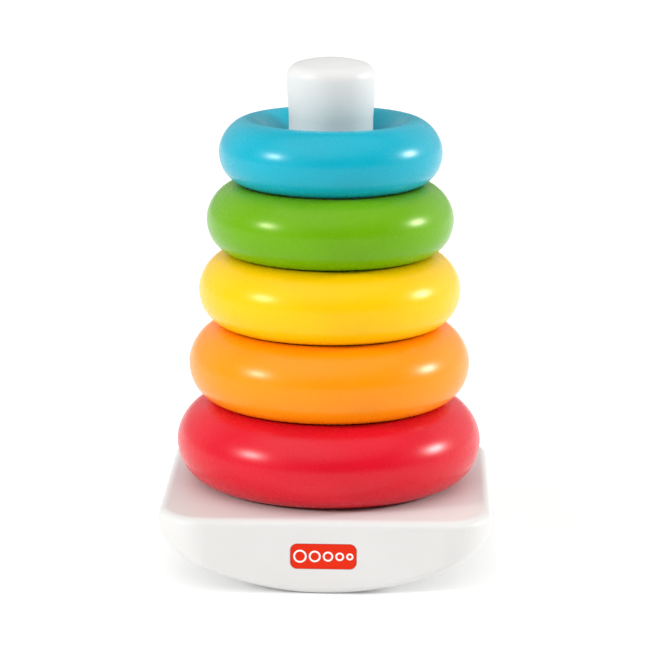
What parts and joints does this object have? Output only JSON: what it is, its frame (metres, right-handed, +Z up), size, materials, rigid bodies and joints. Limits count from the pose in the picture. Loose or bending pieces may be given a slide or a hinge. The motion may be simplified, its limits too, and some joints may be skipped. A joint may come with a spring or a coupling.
{
  "type": "stacking ring toy",
  "caption": "Graded hollow plastic rings stacked on a domed post that stands on a rounded square rocking base.",
  "frame": {"origin": "on the floor, under the middle of the base, where the rocker's middle flat rests", "axes": "+Z up along the post, -Y out of the front wall that carries the label, X along the rocker's arc"},
  "size_m": [0.13, 0.13, 0.1994],
  "materials": {
    "white_plastic": "smooth satin moulding",
    "label_print": "printed film",
    "screw_steel": "zinc plated",
    "ring_red_plastic": "smooth satin moulding",
    "ring_orange_plastic": "smooth satin moulding",
    "ring_yellow_plastic": "smooth satin moulding",
    "ring_green_plastic": "smooth satin moulding",
    "ring_blue_plastic": "smooth satin moulding"
  },
  "bodies": {
    "base": {"base_shell": "white_plastic", "rocker_plate": "white_plastic", "post": "white_plastic", "label": "label_print", "base_screw_1": "screw_steel", "base_screw_2": "screw_steel", "base_screw_3": "screw_steel", "base_screw_4": "screw_steel"},
    "red_ring": {"ring_red": "ring_red_plastic"},
    "orange_ring": {"ring_orange": "ring_orange_plastic"},
    "yellow_ring": {"ring_yellow": "ring_yellow_plastic"},
    "green_ring": {"ring_green": "ring_green_plastic"},
    "blue_ring": {"ring_blue": "ring_blue_plastic"}
  },
  "joints": [
    {"name": "red_ring_lift", "type": "slide", "parent": "base", "child": "red_ring", "axis": [0, 0, 1], "range_m": [0, 0.172]},
    {"name": "orange_ring_lift", "type": "slide", "parent": "red_ring", "child": "orange_ring", "axis": [0, 0, 1], "range_m": [0, 0.139]},
    {"name": "yellow_ring_lift", "type": "slide", "parent": "orange_ring", "child": "yellow_ring", "axis": [0, 0, 1], "range_m": [0, 0.109]},
    {"name": "green_ring_lift", "type": "slide", "parent": "yellow_ring", "child": "green_ring", "axis": [0, 0, 1], "range_m": [0, 0.08]},
    {"name": "blue_ring_lift", "type": "slide", "parent": "green_ring", "child": "blue_ring", "axis": [0, 0, 1], "range_m": [0, 0.052]}
  ]
}
